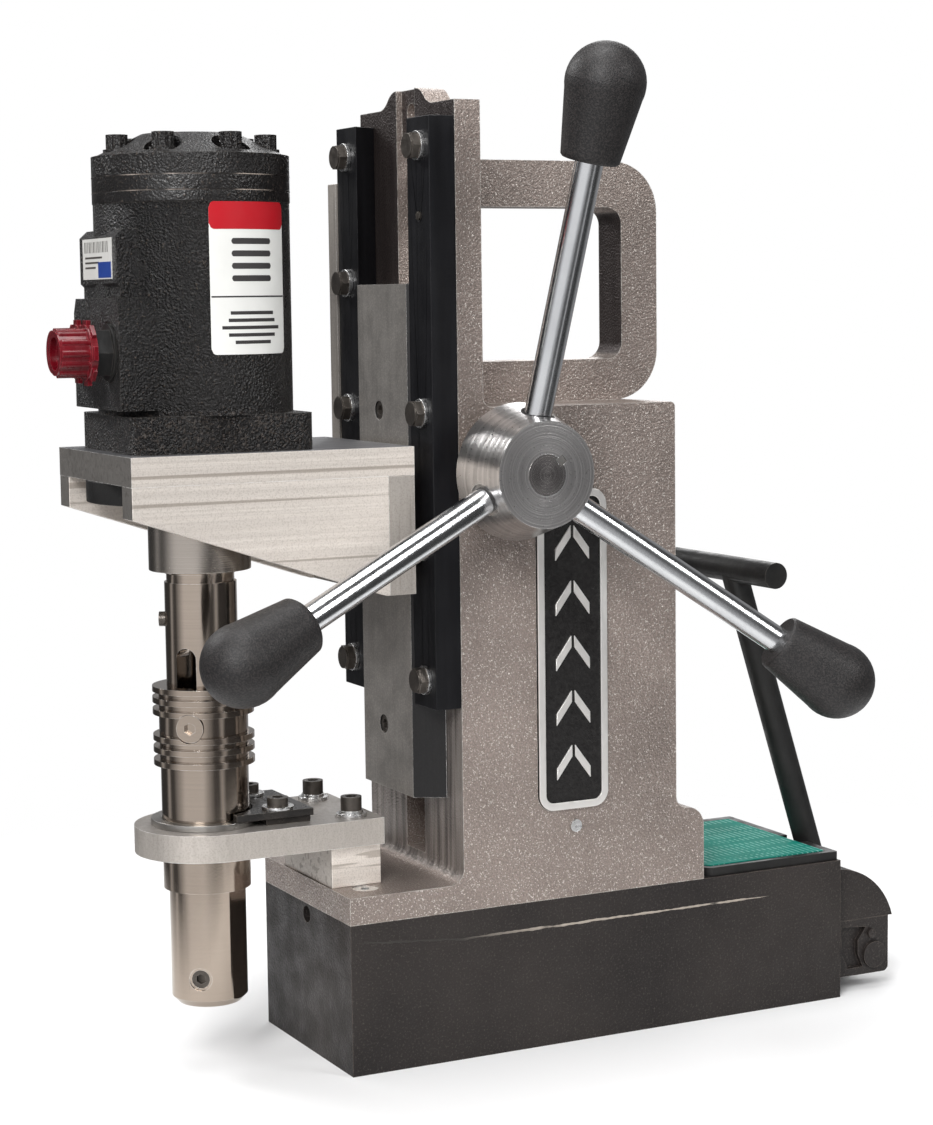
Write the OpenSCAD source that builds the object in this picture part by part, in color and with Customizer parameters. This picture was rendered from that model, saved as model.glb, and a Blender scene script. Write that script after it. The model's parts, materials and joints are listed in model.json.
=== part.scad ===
// Magnetic drill press: a switchable magnet base, a cast column with a carry
// handle, a dovetail slide that carries a vertical hydraulic motor and spindle,
// a three-spoke feed handle on a rack and pinion, and a spindle support arm.
// Millimetres. +Z up, the spindle side faces -Y, the feed handle is on +X.
// The origin is the centre of the magnet's working face.

/* [Magnet base] */
// Width of the magnet housing across X
base_w = 102; // [100:1:106]
// Length of the magnet housing along Y
base_l = 270; // [266:1:284]
// Wall of the magnet housing
base_wall = 8; // [6:0.5:9]
// Number of steel pole bars across the working face
pole_count = 7; // [5:2:9]
// Thickness of the pole bars
pole_t = 12; // [10:0.5:12]

/* [Column] */
// Height of the cast body above the magnet face
body_top = 304; // [300:1:310]
// Thickness of the neck plate above the body
neck_t = 13; // [12:0.5:13]
// Width of the carry handle bar
handle_w = 21.8; // [20:0.2:30]
// Radius of the outer corners of the handle
handle_r = 24; // [14:1:26]

/* [Feed handle] */
// Diameter of the hub at its outer face
hub_d = 48.4; // [44:0.2:54]
// Diameter of the hub at its inner face
hub_back_d = 63.2; // [50:0.2:64]
// Spoke diameter
spoke_d = 12.7; // [10:0.1:13]
// Outward lean of each spoke
spoke_tilt = 14.4; // [8:0.2:15]
// Turn of the first spoke from straight up
spoke_turn = 5.8; // [0:0.1:30]
// Largest knob diameter
knob_d = 36; // [30:1:40]
// Knob length
knob_l = 52.3; // [48:0.1:60]
// Distance from the hub axis to the knob's tip
knob_reach = 195.7; // [180:0.1:200]

/* [Spindle and arm] */
// Diameter of the spindle where it runs in the support arm
spindle_d = 40.2; // [38:0.1:40.4]
// Diameter of the spindle nose
nose_d = 35.2; // [32:0.1:36]
// Bore for the cutter shank
arbor_d = 19.05; // [16:0.05:20]
// Diameter of the coolant ring's fins
fin_d = 46.4; // [44:0.2:47]
// Width of the support arm
arm_w = 66; // [62:1:70]
// Thickness of the support arm
arm_t = 12.5; // [10:0.5:12.5]

/* [Motor] */
// Turn of the motor about the spindle axis
motor_turn = 2; // [0:0.1:14]
// Body diameter of the motor
motor_d = 88; // [84:1:88]
// Width of the square mounting flange
flange_w = 84.5; // [78:0.5:86]
// Thickness of the bracket plates
plate_t = 13; // [11:0.5:13]

/* [Magnet lever] */
// Forward lean of the lever rod
lever_lean = 17.3; // [8:0.1:20]
// Distance from the lever shaft to the cross bar
lever_l = 188.5; // [160:0.5:195]
// Lever rod diameter
lever_d = 14; // [12:0.5:14]

/* [Hidden] */
$fn = 64;
e = 0.01;
fit = 0.05;
gap = 0.3;
hw = base_w / 2;
hl = base_l / 2;
base_h = 70.6;
cav_top = 60.6;
foot_top = 83.3;
col_front = -77;
col_rear = 38.5;
foot_front = -135;
foot_rear = 54;
foot_rise = 107;
foot_r = 9.5;
foot_fillet = 6;
neck_fillet = 5;
body_round = 2.5;
neck_rear = col_front + neck_t;
neck_top = 443.3;
crest_top = 451.4;
crest_w = 10;
crest_r = 13.17;
slot_w = 10;
slot_floor = -62;
ys = -184.4;
// feed pinion
pin_y = -52.9;
pin_z = 275.1;
pin_m = 1.5;
pin_n = 16;
pin_r = pin_m * pin_n / 2;
pin_half = 7.5;
shaft_r = 9.5;
hub_x0 = 63.5;
rim_h = 1.6;
rim_w = 3.5;
mark_h = 1.4;
hub_x1 = 91;
spoke_x = 71;
spoke_t0 = 12;
spot_t = 26.2;
// dovetail
gib_front = -90;
slide_front = -91;
slide_rear = -77.3;
slide_hw = 27;
dove = 0.58;
gib_z0 = 166;
gib_z1 = 436;
gib_gap = 0.35;
slide_z0 = 121.5;
slide_z1 = 361;
// bracket
brk_hw = 50.2;
brk_front = -233.5;
brk_back = -99;
brk_top = 287.8;
brk_low = 220.5;
plate_z = brk_top - plate_t;
// lever pivot
lev_y = 151.5;
lev_z = 37;
lev_m = 1;
lev_n = 16;
lev_r = lev_m * lev_n / 2;
lev_x = 13.5;
boss_hw = 6.8;
notch_hw = lever_d / 2 + 1.5;
notch_y = 129.5;
ear_x0 = 28;
ear_x1 = 45;
ear_split = 37;
// support arm
arm_top = 115.2;
arm_z0 = arm_top - arm_t;
arm_rear = -109;
riser_front = -134;
riser_hw = 28.5;
arm_bolt = [22.5, -121];
keep_bolt = [18, -156];
bush_r = 24;
// motor levels
fl_top = 304.3;
body_z1 = 397.5;
wear_z1 = 402.5;
ring_z1 = 409.3;
cover_z1 = 418.6;
dome_z = 428.6;
ring_r = 44.3;
cap_bolt_r = 34;
cap_bolt_n = 7;
cap_bolt_a = 90 / cap_bolt_n;
cap_bolt_z = 420;
flange_r = 8;
pad_v = -44.2;
pad_hw = 28;
pad_z0 = 362.5;
pad_z1 = 383;
port_v = -45.9;
port_u = 19;
port_z = 332.3;
port_r = 7.3;
blk_hw = 34.6;
blk_z0 = 307;
blk_z1 = 349.5;
// colours
c_cast = [0.62, 0.60, 0.57];
c_mach = [0.78, 0.77, 0.74];
c_dark = [0.16, 0.15, 0.14];
c_black = [0.07, 0.07, 0.07];
c_steel = [0.66, 0.62, 0.58];
c_zinc = [0.80, 0.80, 0.80];
c_brass = [0.72, 0.56, 0.28];
c_red = [0.75, 0.07, 0.12];
c_green = [0.10, 0.55, 0.45];
c_white = [0.92, 0.92, 0.90];

module box(x0, x1, y0, y1, z0, z1) {
  translate([x0, y0, z0]) cube([x1 - x0, y1 - y0, z1 - z0]);
}
module zcyl(r, z0, z1, x = 0, y = 0) {
  translate([x, y, z0]) cylinder(r = r, h = z1 - z0);
}
module xcyl(r, x0, x1, y, z) {
  translate([x0, y, z]) rotate([0, 90, 0]) cylinder(r = r, h = x1 - x0);
}
module ycyl(r, y0, y1, x, z) {
  translate([x, y1, z]) rotate([90, 0, 0]) cylinder(r = r, h = y1 - y0);
}
// a profile drawn in Y and Z, pushed along X
module along_x(x0, x1) {
  translate([x0, 0, 0]) rotate([90, 0, 90]) linear_extrude(x1 - x0) children();
}
// a profile drawn in X and Z, pushed along Y
module along_y(y0, y1) {
  translate([0, y1, 0]) rotate([90, 0, 0]) linear_extrude(y1 - y0) children();
}
module rect(a0, a1, b0, b1) {
  translate([a0, b0]) square([a1 - a0, b1 - b0]);
}
module rrect(a0, a1, b0, b1, r) {
  rect(a0 + r, a1 - r, b0, b1);
  rect(a0, a1, b0 + r, b1 - r);
  translate([a0 + r, b0 + r]) circle(r);
  translate([a1 - r, b0 + r]) circle(r);
  translate([a0 + r, b1 - r]) circle(r);
  translate([a1 - r, b1 - r]) circle(r);
}
// children placed on the spindle axis at a world angle, +X turned to point outward
module out(angle) {
  translate([0, ys, 0]) rotate([0, 0, angle]) children();
}
module motor_frame() {
  translate([0, ys, 0]) rotate([0, 0, -motor_turn]) children();
}
module hex_socket(af, d) {
  translate([0, 0, -d]) cylinder(r = af / 2 / cos(30), h = d + 1, $fn = 6);
}
// a socket head cap screw, head seated at the origin, shank along -Z
module cap_screw(r, l, head_r, head_h) {
  difference() {
    union() {
      translate([0, 0, -l]) cylinder(r = r, h = l + e);
      cylinder(r = head_r, h = head_h);
    }
    translate([0, 0, head_h]) hex_socket(head_r, head_h * 0.55);
  }
}
// tooth outlines: an involute flank sampled on each side of the tooth
function inv(a) = tan(a) * 180 / PI - a;
function flank(r, m, n, back) =
  let (rp = m * n / 2, rb = rp * cos(20), c = min(1, rb / r), a = acos(c))
  90 / n - back + inv(20) - inv(a);
module gear_2d(m, n, phase, back) {
  rp = m * n / 2;
  rb = rp * cos(20);
  ra = rp + m;
  rf = rp - 1.25 * m;
  steps = 4;
  rs = [for (i = [0:steps]) rb + 0.02 + (ra - rb - 0.02) * i / steps];
  pts = [for (k = [0:n - 1]) let (c = phase + 360 * k / n) each concat(
    [[rf * cos(c - flank(rs[0], m, n, back)), rf * sin(c - flank(rs[0], m, n, back))]],
    [for (r = rs) [r * cos(c - flank(r, m, n, back)), r * sin(c - flank(r, m, n, back))]],
    [for (i = [steps:-1:0]) let (r = rs[i])
      [r * cos(c + flank(r, m, n, back)), r * sin(c + flank(r, m, n, back))]],
    [[rf * cos(c + flank(rs[0], m, n, back)), rf * sin(c + flank(rs[0], m, n, back))]])];
  polygon(pts);
}
// rack teeth with the tips along +B, the pitch line at b = 0 and a tooth at a = 0
module rack_2d(m, k0, k1, back, add) {
  p = m * PI;
  w = p / 4 - back;
  t = tan(20);
  d = 1.25 * m;
  for (k = [k0:k1]) {
    translate([k * p, 0])
      polygon([[-w - d * t, -d - 0.3], [w + d * t, -d - 0.3], [w - add * t, add], [-w + add * t, add]]);
  }
}

// ---- magnet base
module magnet_housing() {
  color(c_dark) difference() {
    box(-hw, hw, -hl, hl, 0, base_h);
    box(-hw + base_wall, hw - base_wall, -hl + base_wall, hl - base_wall, -1, cav_top);
    box(-7, 7, hl - base_wall - 1, hl + 1, 16, 32);
    ycyl(4, -hl - 1, -hl + 12, 0, 65.4);
    box(lev_x - notch_hw, lev_x + notch_hw, notch_y, hl + 1, cav_top + 2, base_h + 1);
    for (p = foot_pos) zcyl(3.3, cav_top - 1, base_h + 1, p[0], p[1]);
  }
}
foot_pos = [[34.5, -120], [-34.5, -120], [30, -50], [-30, -50], [30, 42], [-30, 42]];
span = base_l - 2 * base_wall;
spacer_t = 4;
bar_t = (span - (pole_count - 1) * spacer_t) / pole_count;
pitch = bar_t + spacer_t;
pole_hw = hw - base_wall;
module pole_bars() {
  color(c_steel) for (i = [0:pole_count - 1]) {
    box(-pole_hw, pole_hw, -span / 2 + i * pitch, -span / 2 + i * pitch + bar_t, 0, pole_t);
  }
}
module pole_spacers() {
  color(c_brass) for (i = [0:pole_count - 2]) {
    box(-pole_hw, pole_hw, -span / 2 + i * pitch + bar_t, -span / 2 + (i + 1) * pitch, 0.5, pole_t);
  }
}
frame_y0 = -107;
frame_y1 = 112;
rack_y1 = 171;
rack_top = lev_z - lev_r - 1.25 * lev_m;
module magnet_frame() {
  color(c_steel) union() {
    box(-41, 41, frame_y0, frame_y1, 40, 48);
    box(-41, 41, frame_y1 - 6, frame_y1, pole_t + gap, 40 + e);
    box(-6, 6, frame_y1 - e, rack_y1, 17.5, rack_top);
    along_x(-6, 6) translate([lev_y, lev_z - lev_r]) rack_2d(lev_m, -4, 5, 0.1, 0.9);
  }
}
module magnet_blocks() {
  color(c_dark) for (i = [0:5]) {
    box(-39, 39, frame_y0 + 1 + i * 35, frame_y0 + 1 + i * 35 + 30, pole_t + gap, 40);
  }
}
module foot_screws() {
  color(c_zinc) {
    for (p = [foot_pos[0], foot_pos[1]]) translate([p[0], p[1], foot_top]) difference() {
      union() {
        translate([0, 0, -22]) cylinder(r = 3.2, h = 20);
        translate([0, 0, -4]) cylinder(r1 = 3.2, r2 = 6, h = 3);
        translate([0, 0, -1 - e]) cylinder(r = 6, h = 0.7);
      }
      translate([0, 0, -0.3]) hex_socket(4, 2.4);
    }
    for (i = [2:5]) translate([foot_pos[i][0], foot_pos[i][1], cav_top]) rotate([180, 0, 0])
      cap_screw(3.2, 20, 5, 6);
  }
}
module ear_blocks() {
  color(c_dark) for (s = [0, 1]) mirror([s, 0, 0]) difference() {
    union() {
      along_x(ear_x0, ear_x1) difference() {
        union() {
          rect(hl, 165.8, 8, ear_split);
          rect(hl, 168.8, 11, ear_split);
          translate([165.8, 11]) circle(3);
        }
        translate([lev_y, lev_z]) circle(6 + fit);
      }
      box(41.5, ear_x1, 144, 160, 30, ear_split);
    }
    along_x(ear_x1 - 2.5, ear_x1 + 1)
      polygon([[140, 34], [155, 32.5], [150, 26], [150, 19], [153, 12], [144, 12], [140, 20]]);
  }
}
module ear_caps() {
  color(c_dark) for (s = [0, 1]) mirror([s, 0, 0]) {
    along_x(ear_x0, 41.5) difference() {
      ear_cap_shape();
      translate([lev_y, lev_z]) circle(6 + fit);
    }
    along_x(41.5 - e, ear_x1) ear_cap_shape();
  }
}
module ear_cap_shape() {
  intersection() {
    translate([136, 27.7]) circle(36.5);
    rect(hl, 172, ear_split, 66);
  }
}
module ear_screws() {
  color(c_black) for (s = [0, 1]) mirror([s, 0, 0]) {
    xcyl(6.8, ear_x1, ear_x1 + 1.6, 159.6, 17.8);
    xcyl(2.2, ear_x1, ear_x1 + 1.6, 157.9, 29);
  }
}
module lever_shaft() {
  color(c_steel) {
    xcyl(6, -41, 41, lev_y, lev_z);
    along_x(-6, 6) translate([lev_y, lev_z]) gear_2d(lev_m, lev_n, -90 + 180 / lev_n, 0.7);
  }
}
module lever_handle() {
  color(c_black) difference() {
    union() {
      xcyl(11, lev_x - boss_hw, lev_x + boss_hw, lev_y, lev_z);
      translate([lev_x, lev_y, lev_z]) rotate([lever_lean, 0, 0])
        translate([0, 0, 8]) cylinder(r = lever_d / 2 - 0.4, h = lever_l - 8);
      translate([0, lev_y, lev_z]) rotate([lever_lean, 0, 0])
        translate([0, 0, lever_l]) xcyl(6.45, -52, 52, 0, 0);
    }
    xcyl(6 + fit, lev_x - boss_hw - 1, lev_x + boss_hw + 1, lev_y, lev_z);
  }
}
module cover_plate() {
  color(c_black) difference() {
    along_z_poly([[-49.5, 54.6], [44, 54.6], [49.5, 60], [49.5, 134], [-49.5, 134]], base_h, 75);
    box(lev_x - notch_hw, lev_x + notch_hw, notch_y, hl + 1, base_h - 1, 76);
  }
}
module along_z_poly(p, z0, z1) {
  translate([0, 0, z0]) linear_extrude(z1 - z0) polygon(p);
}
module info_label() {
  color(c_green) along_z_poly([[-42, 55], [40, 55], [46, 61], [46, 128], [-42, 128]], 75, 75.5);
}

// ---- column
module column_profile() {
  rect(foot_front, foot_rear, base_h, foot_top);
  rect(col_front, col_rear, base_h, body_top - body_round);
  rect(col_front, col_rear - body_round, base_h, body_top);
  translate([col_rear - body_round, body_top - body_round]) circle(body_round);
  rect(col_rear - e, foot_rear - foot_r, base_h, foot_rise);
  rect(col_rear - e, foot_rear, base_h, foot_rise - foot_r);
  translate([foot_rear - foot_r, foot_rise - foot_r]) circle(foot_r);
  difference() {
    rect(col_front - 7, col_front + e, foot_top - e, foot_top + 7);
    translate([col_front - 7, foot_top + 7]) circle(7);
  }
  fillet_2d(col_rear, foot_rise, foot_fillet);
  fillet_2d(neck_rear, body_top, neck_fillet);
}
// a concave corner between a wall at a and a floor at b
module fillet_2d(a, b, r) {
  difference() {
    rect(a - e, a + r, b - e, b + r);
    translate([a + r, b + r]) circle(r);
  }
}
module crest_profile() {
  rect(-hw, hw, body_top - e, neck_top);
  rect(-crest_w, crest_w, neck_top - e, crest_top);
  for (s = [0, 1]) mirror([s, 0]) {
    intersection() {
      translate([crest_w, crest_top - crest_r]) circle(crest_r);
      rect(crest_w - e, crest_w + 9.5, neck_top - e, crest_top);
    }
    difference() {
      rect(crest_w + 9.5 - e, crest_w + 19, neck_top - e, neck_top + 4.05);
      translate([crest_w + 19, neck_top + crest_r]) circle(crest_r);
    }
  }
}
handle_z0 = body_top;
handle_z1 = 419;
win_z0 = 324;
win_z1 = 397;
handle_y1 = 52.8;
win_y1 = 32.8;
module handle_profile() {
  difference() {
    union() {
      rect(neck_rear - e, handle_y1 - handle_r, handle_z0 - e, handle_z1);
      rect(neck_rear - e, handle_y1, handle_z0 + handle_r, handle_z1 - handle_r);
      translate([handle_y1 - handle_r, handle_z1 - handle_r]) circle(handle_r);
      translate([handle_y1 - handle_r, handle_z0 + handle_r]) circle(handle_r);
    }
    rrect(neck_rear, win_y1, win_z0, win_z1, 8);
  }
}
module column_casting() {
  color(c_cast) difference() {
    union() {
      along_x(-hw, hw) column_profile();
      along_y(col_front, neck_rear) crest_profile();
      along_x(-handle_w / 2, handle_w / 2) handle_profile();
    }
    box(-slot_w, slot_w, col_front - 1, slot_floor, 90.3, body_top + e);
    box(-slot_w, slot_w, col_front - 1, neck_rear + 1.6, body_top - e, 425);
    box(-slot_w, slot_w, col_front - 1, col_front + 3, 425 - e, crest_top + 1);
    ycyl(4.5, col_front - 1, neck_rear + 1, 0, 440.5);
    xcyl(15, -14, hw + 1, pin_y, pin_z);
    xcyl(12, -40, -13, pin_y, pin_z);
    box(-40, 40, -30, 28, base_h - 1, 290);
    along_x(hw - np_deep, hw + 1) rrect(np_y0, np_y1, np_z0, np_z1, np_r);
    xcyl(2, hw - 6, hw + 1, -17.8, 105);
    for (b = gib_list) ycyl(3.15, col_front - 1, -67, b[0], b[1]);
    ycyl(2, col_front - 1, -67, 40.1, 391.4);
    for (s = [-1, 1]) zcyl(3.2, 74, foot_top + 1, s * arm_bolt[0], arm_bolt[1]);
    for (i = [0, 1]) {
      zcyl(3.25, base_h - 1, foot_top + 1, foot_pos[i][0], foot_pos[i][1]);
      translate([foot_pos[i][0], foot_pos[i][1], foot_top - 4]) cylinder(r1 = 3.2, r2 = 6.2, h = 3);
      zcyl(6.2, foot_top - 1 - e, foot_top + 1, foot_pos[i][0], foot_pos[i][1]);
    }
    for (i = [2:5]) zcyl(3.25, base_h - 1, cav_top + 21, foot_pos[i][0], foot_pos[i][1]);
  }
}
gib_x = 40.5;
gib_list = [[-gib_x, 422], [-gib_x, 362], [-gib_x, 302], [-gib_x, 241], [-gib_x, 180],
  [gib_x, 423], [gib_x, 302], [gib_x, 241], [gib_x, 179]];
module gibs() {
  color(c_black) for (s = [0, 1]) mirror([s, 0, 0]) difference() {
    along_z_poly([[gib_in(gib_front), gib_front], [hw, gib_front], [hw, col_front],
      [gib_in(col_front), col_front]], gib_z0, gib_z1);
    for (b = gib_list) if (b[0] * (1 - 2 * s) > 0) ycyl(3.4, gib_front - 1, col_front + 1, gib_x, b[1]);
    if (s == 0) ycyl(2.1, gib_front - 1, col_front + 1, 40.1, 391.4);
  }
}
function slide_x(y) = slide_hw + dove * (y - slide_front);
function gib_in(y) = slide_x(y) + gib_gap;
module gib_bolts() {
  color(c_dark) {
    for (b = gib_list) translate([b[0], gib_front - 1.8, b[1]]) rotate([90, 0, 0]) {
      translate([0, 0, -21]) cylinder(r = 3, h = 21 + e);
      cylinder(r = 6.4, h = 3.6, $fn = 6);
      translate([0, 0, 3.6 - e]) cylinder(r = 5.4, h = 0.9);
    }
    ycyl(1.9, gib_front - 0.8, -68, 40.1, 391.4);
  }
}
module gib_washers() {
  color(c_zinc) for (b = gib_list) difference() {
    ycyl(6.7, gib_front - 1.8, gib_front, b[0], b[1]);
    ycyl(3.2, gib_front - 2, gib_front + 1, b[0], b[1]);
  }
}
module depth_scale() {
  color(c_mach) box(-hw - 9, -hw, -91, -72, 236, 410);
}
module pinion_bushes() {
  color(c_brass) {
    difference() {
      union() {
        xcyl(15 - 0.02, 12, hw, pin_y, pin_z);
        xcyl(14.4, hw - e, hub_x0 - 0.4, pin_y, pin_z);
      }
      xcyl(shaft_r + fit, 11, hub_x0, pin_y, pin_z);
    }
    difference() {
      xcyl(12 - 0.02, -39.9, -14, pin_y, pin_z);
      xcyl(shaft_r + fit, -41, -13, pin_y, pin_z);
    }
  }
}
np_y0 = -37.6;
np_y1 = 0;
np_z0 = 113;
np_z1 = 265;
np_r = 8;
np_deep = 0.5;
np_face = hw + 0.6;
module np_outline(inset) {
  rrect(np_y0 + inset, np_y1 - inset, np_z0 + inset, np_z1 - inset, np_r - inset);
}
module nameplate() {
  color(c_black) along_x(hw - np_deep, np_face) np_outline(gap);
}
module nameplate_rim() {
  color(c_mach) along_x(np_face, hw + rim_h) difference() {
    np_outline(gap);
    np_outline(rim_w + gap);
  }
}
module nameplate_marks() {
  color(c_mach) along_x(np_face, hw + mark_h) for (i = [0:4]) translate([-18.8, 136.5 + i * 26]) {
    difference() {
      polygon([[-9, -9], [0, 3], [9, -9], [9, -3.5], [0, 8.5], [-9, -3.5]]);
      rect(-0.8, 0.8, -10, 10);
    }
  }
}
module oil_plug() {
  color(c_zinc) union() {
    xcyl(1.9, hw - 5, hw + e, -17.8, 105);
    xcyl(3, hw, hw + 1.5, -17.8, 105);
  }
}

// ---- support arm
module arm_riser() {
  color(c_mach) difference() {
    box(-riser_hw, riser_hw, riser_front, arm_rear, foot_top, arm_z0);
    for (s = [-1, 1]) zcyl(3.4, foot_top - 1, arm_z0 + 1, s * arm_bolt[0], arm_bolt[1]);
  }
}
module support_arm() {
  color(c_mach) difference() {
    union() {
      zcyl(arm_w / 2, arm_z0, arm_top, 0, ys);
      box(-arm_w / 2, arm_w / 2, ys, arm_rear, arm_z0, arm_top);
    }
    zcyl(bush_r, arm_z0 - 1, arm_top + 1, 0, ys);
    for (s = [-1, 1]) {
      zcyl(3.4, arm_z0 - 1, arm_top + 1, s * arm_bolt[0], arm_bolt[1]);
      zcyl(2.6, arm_top - 9, arm_top + 1, s * keep_bolt[0], keep_bolt[1]);
    }
  }
}
module arm_bush() {
  color(c_brass) difference() {
    union() {
      zcyl(bush_r - 0.02, arm_z0, arm_top + e, 0, ys);
      zcyl(25.2, arm_top, keep_z0 + spacer_h, 0, ys);
    }
    zcyl(spindle_d / 2 + 0.08, arm_z0 - 1, arm_top + 5, 0, ys);
  }
}
keep_z0 = arm_top;
spacer_h = 3;
keep_z1 = keep_z0 + spacer_h + 3.4;
module keeper_spacer() {
  color(c_black) difference() {
    box(-23.5, 23.5, -164, -142, keep_z0, keep_z0 + spacer_h);
    zcyl(25.6, keep_z0 - 1, keep_z1, 0, ys);
    for (s = [-1, 1]) zcyl(2.8, keep_z0 - 1, keep_z1, s * keep_bolt[0], keep_bolt[1]);
  }
}
module keeper_clip() {
  color(c_black) difference() {
    box(-25, 25, -179, -141, keep_z0 + spacer_h, keep_z1);
    zcyl(21.4, keep_z0, keep_z1 + 1, 0, ys);
    for (s = [-1, 1]) zcyl(2.8, keep_z0 - 1, keep_z1 + 1, s * keep_bolt[0], keep_bolt[1]);
  }
}
module arm_screws() {
  color(c_black) {
    for (s = [-1, 1]) translate([s * arm_bolt[0], arm_bolt[1], arm_top + 3])
      cap_screw(3.1, 40, 4.9, 6.4);
    for (s = [-1, 1]) translate([s * keep_bolt[0], keep_bolt[1], keep_z1 + 1.4])
      cap_screw(2.5, 14, 4.9, 4);
  }
}
module arm_washers() {
  color(c_zinc) {
    for (s = [-1, 1]) difference() {
      union() {
        zcyl(7.2, arm_top, arm_top + 1.6, s * arm_bolt[0], arm_bolt[1]);
        zcyl(5.5, arm_top + 1.6 - e, arm_top + 3, s * arm_bolt[0], arm_bolt[1]);
      }
      zcyl(3.3, arm_top - 1, arm_top + 4, s * arm_bolt[0], arm_bolt[1]);
    }
    for (s = [-1, 1]) difference() {
      zcyl(7.4, keep_z1, keep_z1 + 1.4, s * keep_bolt[0], keep_bolt[1]);
      zcyl(2.8, keep_z1 - 1, keep_z1 + 4, s * keep_bolt[0], keep_bolt[1]);
    }
  }
}

// ---- carriage
slide_screw = [[-4.5, 302], [-4.5, 152]];
module slide() {
  color(c_mach) difference() {
    along_z_poly([[-slide_hw, slide_front], [slide_hw, slide_front], [slide_x(slide_rear), slide_rear],
      [-slide_x(slide_rear), slide_rear]], slide_z0, slide_z1);
    for (p = slide_screw) {
      ycyl(4.6, slide_front - 1, slide_front + 5, p[0], p[1]);
      ycyl(2.6, slide_front - 1, slide_rear + 1, p[0], p[1]);
    }
    for (p = brk_screw) ycyl(3.1, slide_front - 1, slide_rear - 3, p[0], p[1]);
  }
}
rack_root = pin_y - pin_r - 1.25 * pin_m;
module feed_rack() {
  color(c_steel) difference() {
    union() {
      box(-pin_half, pin_half, slide_rear, rack_root, 143, 314);
      translate([-pin_half, 0, 0]) rotate([90, 0, 90]) linear_extrude(2 * pin_half)
        translate([pin_y - pin_r, pin_z]) rotate(-90) mirror([1, 0]) rack_2d(pin_m, -15, 7, 0.1, 1.35);
    }
    for (p = slide_screw) ycyl(2.6, slide_rear - 1, rack_root - 1.5, p[0], p[1]);
  }
}
brk_screw = [[-16, 232], [16, 232], [-16, 262], [16, 262]];
module slide_screws() {
  color(c_dark) {
    for (p = slide_screw) translate([p[0], slide_front + 5, p[1]]) rotate([90, 0, 0])
      cap_screw(2.5, 17, 4.4, 4.4);
    for (p = brk_screw) translate([p[0], brk_back - plate_t + 6.5, p[1]]) rotate([90, 0, 0])
      cap_screw(3, 24, 5, 6);
  }
}
module bracket_spacer() {
  color(c_mach) difference() {
    box(-slide_hw, slide_hw, brk_back, slide_front, brk_low + 1, plate_z);
    for (p = brk_screw) ycyl(3.3, brk_back - 1, slide_front + 1, p[0], p[1]);
  }
}
module bracket_back() {
  color(c_mach) difference() {
    box(-brk_hw, brk_hw, brk_back - plate_t, brk_back, brk_low, plate_z);
    for (p = brk_screw) {
      ycyl(3.3, brk_back - plate_t - 1, brk_back + 1, p[0], p[1]);
      ycyl(5.4, brk_back - plate_t - 1, brk_back - plate_t + 6.5, p[0], p[1]);
    }
  }
}
module bracket_top() {
  color(c_mach) difference() {
    box(-brk_hw, brk_hw, brk_front, brk_back, plate_z, brk_top);
    zcyl(20, plate_z - 1, brk_top + 1, 0, ys);
    motor_frame() for (p = mot_bolt) {
      zcyl(3.3, plate_z - 1, brk_top + 1, p[0], p[1]);
      zcyl(5.4, plate_z - 1, plate_z + 6.5, p[0], p[1]);
    }
    for (p = plate_bolt) zcyl(2.6, plate_z - 1, plate_z + 9, p[0], ys + p[1]);
  }
}
mot_bolt = [[29.2, 29.2], [-29.2, 29.2], [29.2, -29.2], [-29.2, -29.2]];
plate_bolt = [[28, 0], [-28, 0], [20, 34], [-20, 34]];
module gussets() {
  color(c_mach) for (s = [0, 1]) mirror([s, 0, 0]) along_x(brk_hw - plate_t, brk_hw)
    polygon([[brk_front, plate_z], [brk_back - plate_t, plate_z], [brk_back - plate_t, brk_low],
      [-113.4, brk_low], [brk_front, 260.8]]);
}
plate_low = 265;
collar_z0 = 232.7;
module bearing_plate() {
  color(c_black) difference() {
    intersection() {
      zcyl(50.5, plate_low, plate_z, 0, ys);
      box(-36.8, 36.8, ys - 60, ys + 60, plate_low - 1, plate_z + 1);
    }
    zcyl(19.5, plate_low - 1, plate_z + 1, 0, ys);
    for (p = plate_bolt) zcyl(3.2, plate_low - 1, plate_z + 1, p[0], ys + p[1]);
  }
}
module bearing_collar() {
  color(c_steel) difference() {
    union() {
      zcyl(23.3, collar_z0, plate_low, 0, ys);
      zcyl(19.3, plate_low - e, plate_z, 0, ys);
    }
    zcyl(tube_r + 0.08, collar_z0 - 1, plate_z + 1, 0, ys);
  }
}
module motor_screws() {
  color(c_dark) {
    motor_frame() for (p = mot_bolt) translate([p[0], p[1], plate_z + 6.5]) rotate([180, 0, 0])
      cap_screw(3, 20, 5, 6);
    for (p = plate_bolt) translate([p[0], ys + p[1], plate_low]) rotate([180, 0, 0])
      cap_screw(2.5, 17, 4.3, 5);
  }
}
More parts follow.
